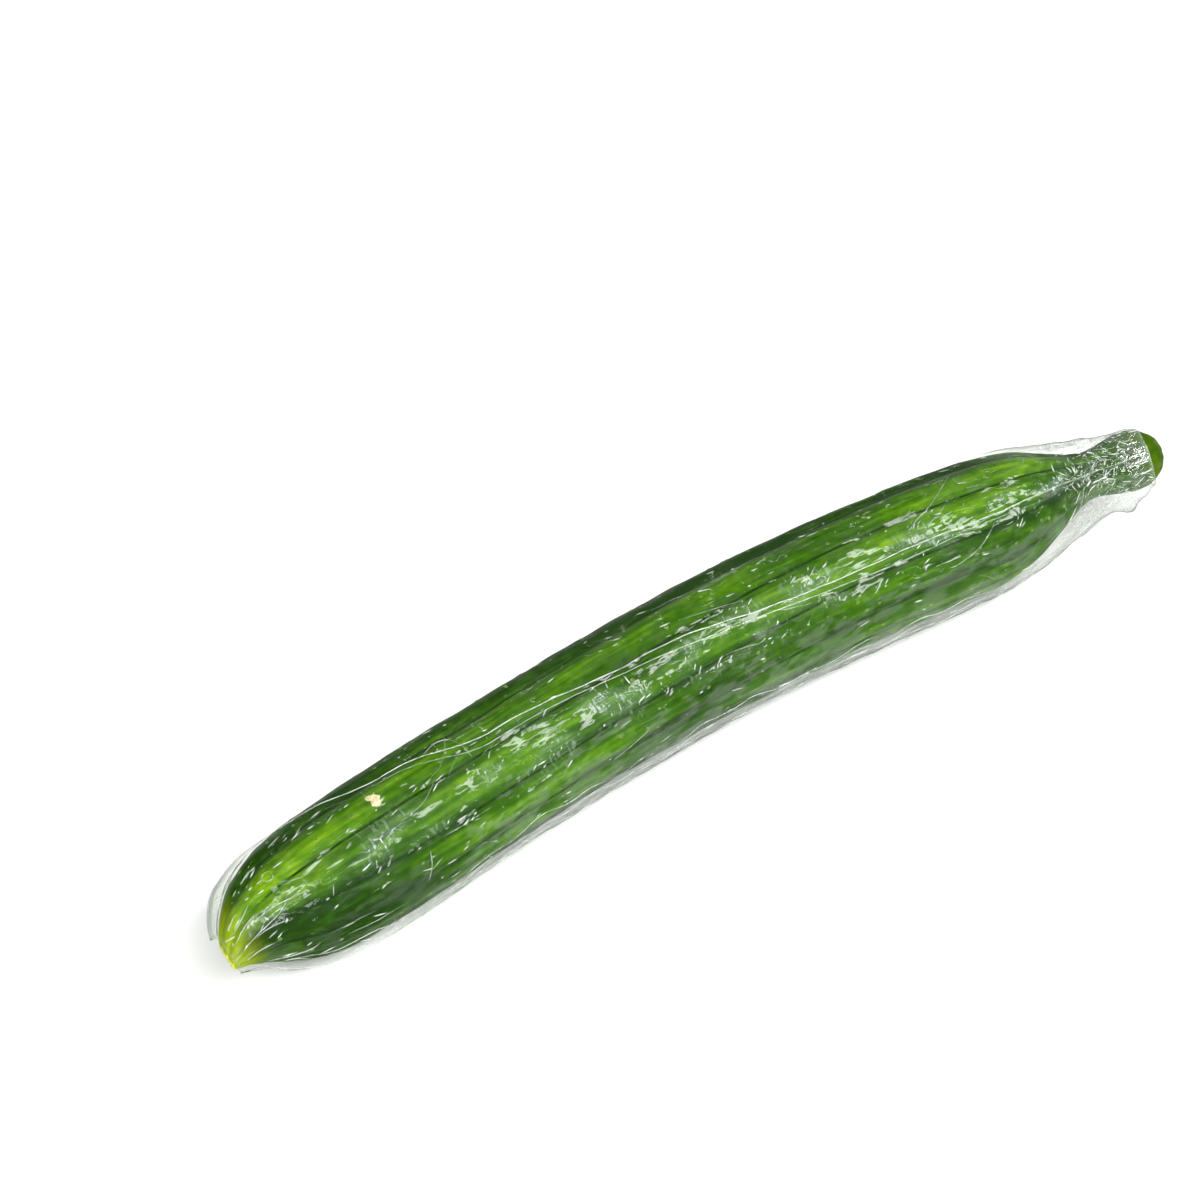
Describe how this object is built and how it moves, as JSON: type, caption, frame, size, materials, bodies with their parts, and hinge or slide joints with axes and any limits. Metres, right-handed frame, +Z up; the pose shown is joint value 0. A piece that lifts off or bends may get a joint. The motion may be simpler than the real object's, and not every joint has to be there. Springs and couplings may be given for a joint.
{
  "type": "cucumber",
  "caption": "Long lobed salad cucumber in a clear shrink-wrap sleeve open at both ends, gently bowed, lying on its side.",
  "frame": {"origin": "middle of the base of the bounding box, on the surface that the cucumber lies on", "axes": "+X runs from the blossom end to the stem end, +Y is the outer side of the bow, and +Z is up"},
  "size_m": [0.3286, 0.0504, 0.0406],
  "materials": {
    "fruit": "smooth green skin with a soft sheen",
    "shrink_wrap": "clear and glossy"
  },
  "bodies": {
    "root": {"fruit": "fruit", "shrink_wrap": "shrink_wrap"}
  },
  "joints": []
}
